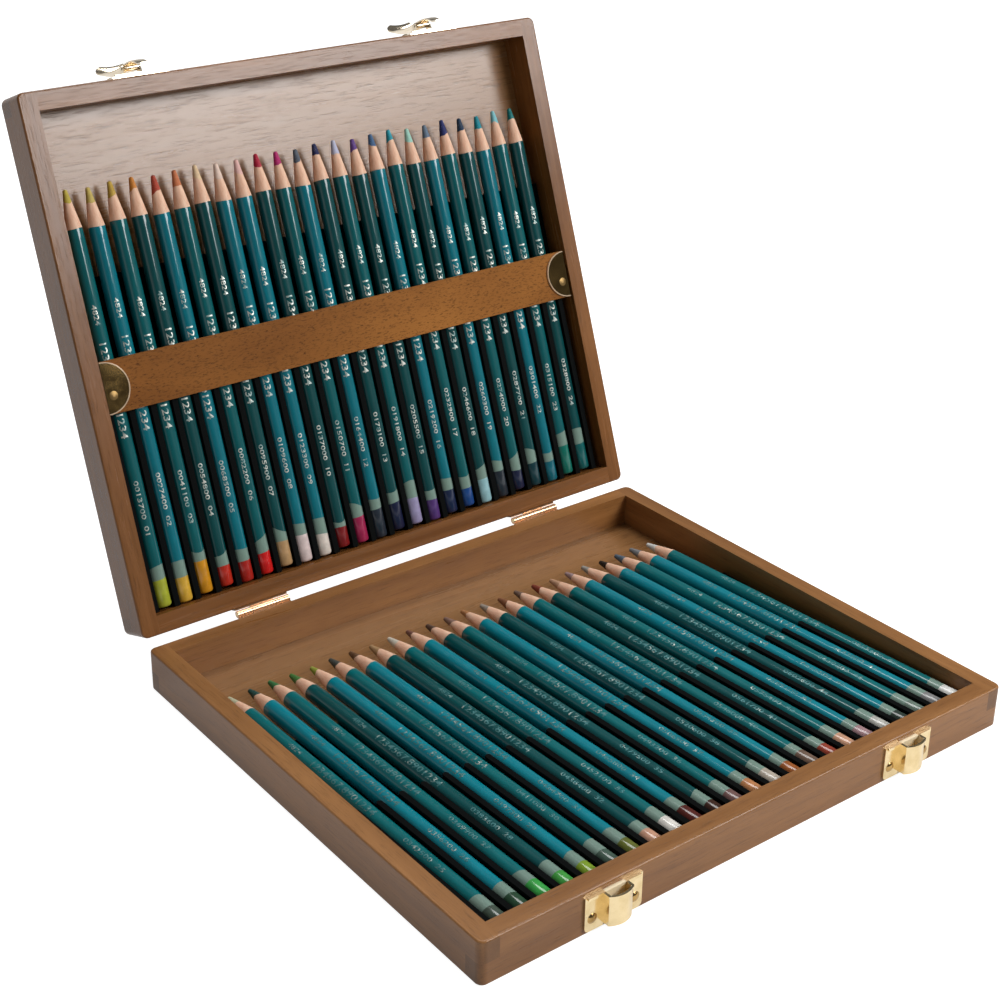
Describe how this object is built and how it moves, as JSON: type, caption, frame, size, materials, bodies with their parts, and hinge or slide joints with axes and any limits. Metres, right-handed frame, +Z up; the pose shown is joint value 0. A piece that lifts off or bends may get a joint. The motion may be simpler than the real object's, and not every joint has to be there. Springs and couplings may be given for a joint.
{
  "type": "hinged wooden pencil case",
  "caption": "Hinged two-tray wooden pencil case standing open, with combed rows of coloured pencils, a retaining bar with turn clips, and brass snap latches.",
  "frame": {"origin": "centre of the base tray's underside", "axes": "+Z up, front of the case with the catches towards -Y, hinge line along X at the rear"},
  "size_m": [0.26, 0.338, 0.2378],
  "materials": {
    "case_wood": "satin",
    "panel_wood": "satin",
    "bar_wood": "satin",
    "comb_plastic": "matte",
    "brass": "polished",
    "pencil_casing": "gloss lacquer",
    "pencil_cedar": "bare cut wood",
    "pencil_pigment": "matte",
    "pencil_foil": "stamped foil"
  },
  "bodies": {
    "base": {"base_front_board": "case_wood", "base_rear_board": "case_wood", "base_left_board": "case_wood", "base_right_board": "case_wood", "base_floor_panel": "panel_wood", "base_comb_insert": "comb_plastic", "base_hinge_leaf_left": "brass", "base_hinge_leaf_right": "brass", "hinge_pin_left": "brass", "hinge_pin_right": "brass", "base_hinge_screws": "brass", "catch_plate_left": "brass", "catch_plate_right": "brass", "catch_screws": "brass", "base_pencil_casings": "pencil_casing", "base_pencil_cores": "pencil_pigment"},
    "lid": {"lid_front_board": "case_wood", "lid_rear_board": "case_wood", "lid_left_board": "case_wood", "lid_right_board": "case_wood", "lid_top_panel": "panel_wood", "lid_comb_insert": "comb_plastic", "lid_hinge_leaf_left": "brass", "lid_hinge_leaf_right": "brass", "lid_hinge_screws": "brass", "latch_plate_left": "brass", "latch_plate_right": "brass", "latch_pin_left": "brass", "latch_pin_right": "brass", "latch_screws": "brass", "retaining_bar": "bar_wood", "clip_rivet_left": "brass", "clip_rivet_right": "brass", "lid_pencil_casings": "pencil_casing", "lid_pencil_cores": "pencil_pigment"},
    "latch_lever_left": {"latch_lever_left": "brass"},
    "latch_lever_right": {"latch_lever_right": "brass"},
    "turn_clip_left": {"turn_clip_left": "brass"},
    "turn_clip_right": {"turn_clip_right": "brass"}
  },
  "joints": [
    {"name": "lid_hinge", "type": "hinge", "parent": "base", "child": "lid", "pos_m": [0, 0.11494, 0.0182], "axis": [1, 0, 0], "range_deg": [0, 110]},
    {"name": "latch_lever_left_pivot", "type": "hinge", "parent": "lid", "child": "latch_lever_left", "pos_m": [-0.074, 0.20483, 0.23242], "axis": [1, 0, 0], "range_deg": [0, 7.5]},
    {"name": "turn_clip_left_pivot", "type": "hinge", "parent": "lid", "child": "turn_clip_left", "pos_m": [-0.118, 0.152, 0.11394], "axis": [0, 0.9397, -0.342], "range_deg": [0, 180]},
    {"name": "latch_lever_right_pivot", "type": "hinge", "parent": "lid", "child": "latch_lever_right", "pos_m": [0.074, 0.20483, 0.23242], "axis": [1, 0, 0], "range_deg": [0, 7.5]},
    {"name": "turn_clip_right_pivot", "type": "hinge", "parent": "lid", "child": "turn_clip_right", "pos_m": [0.118, 0.152, 0.11394], "axis": [0, -0.9397, 0.342], "range_deg": [0, 180]}
  ]
}
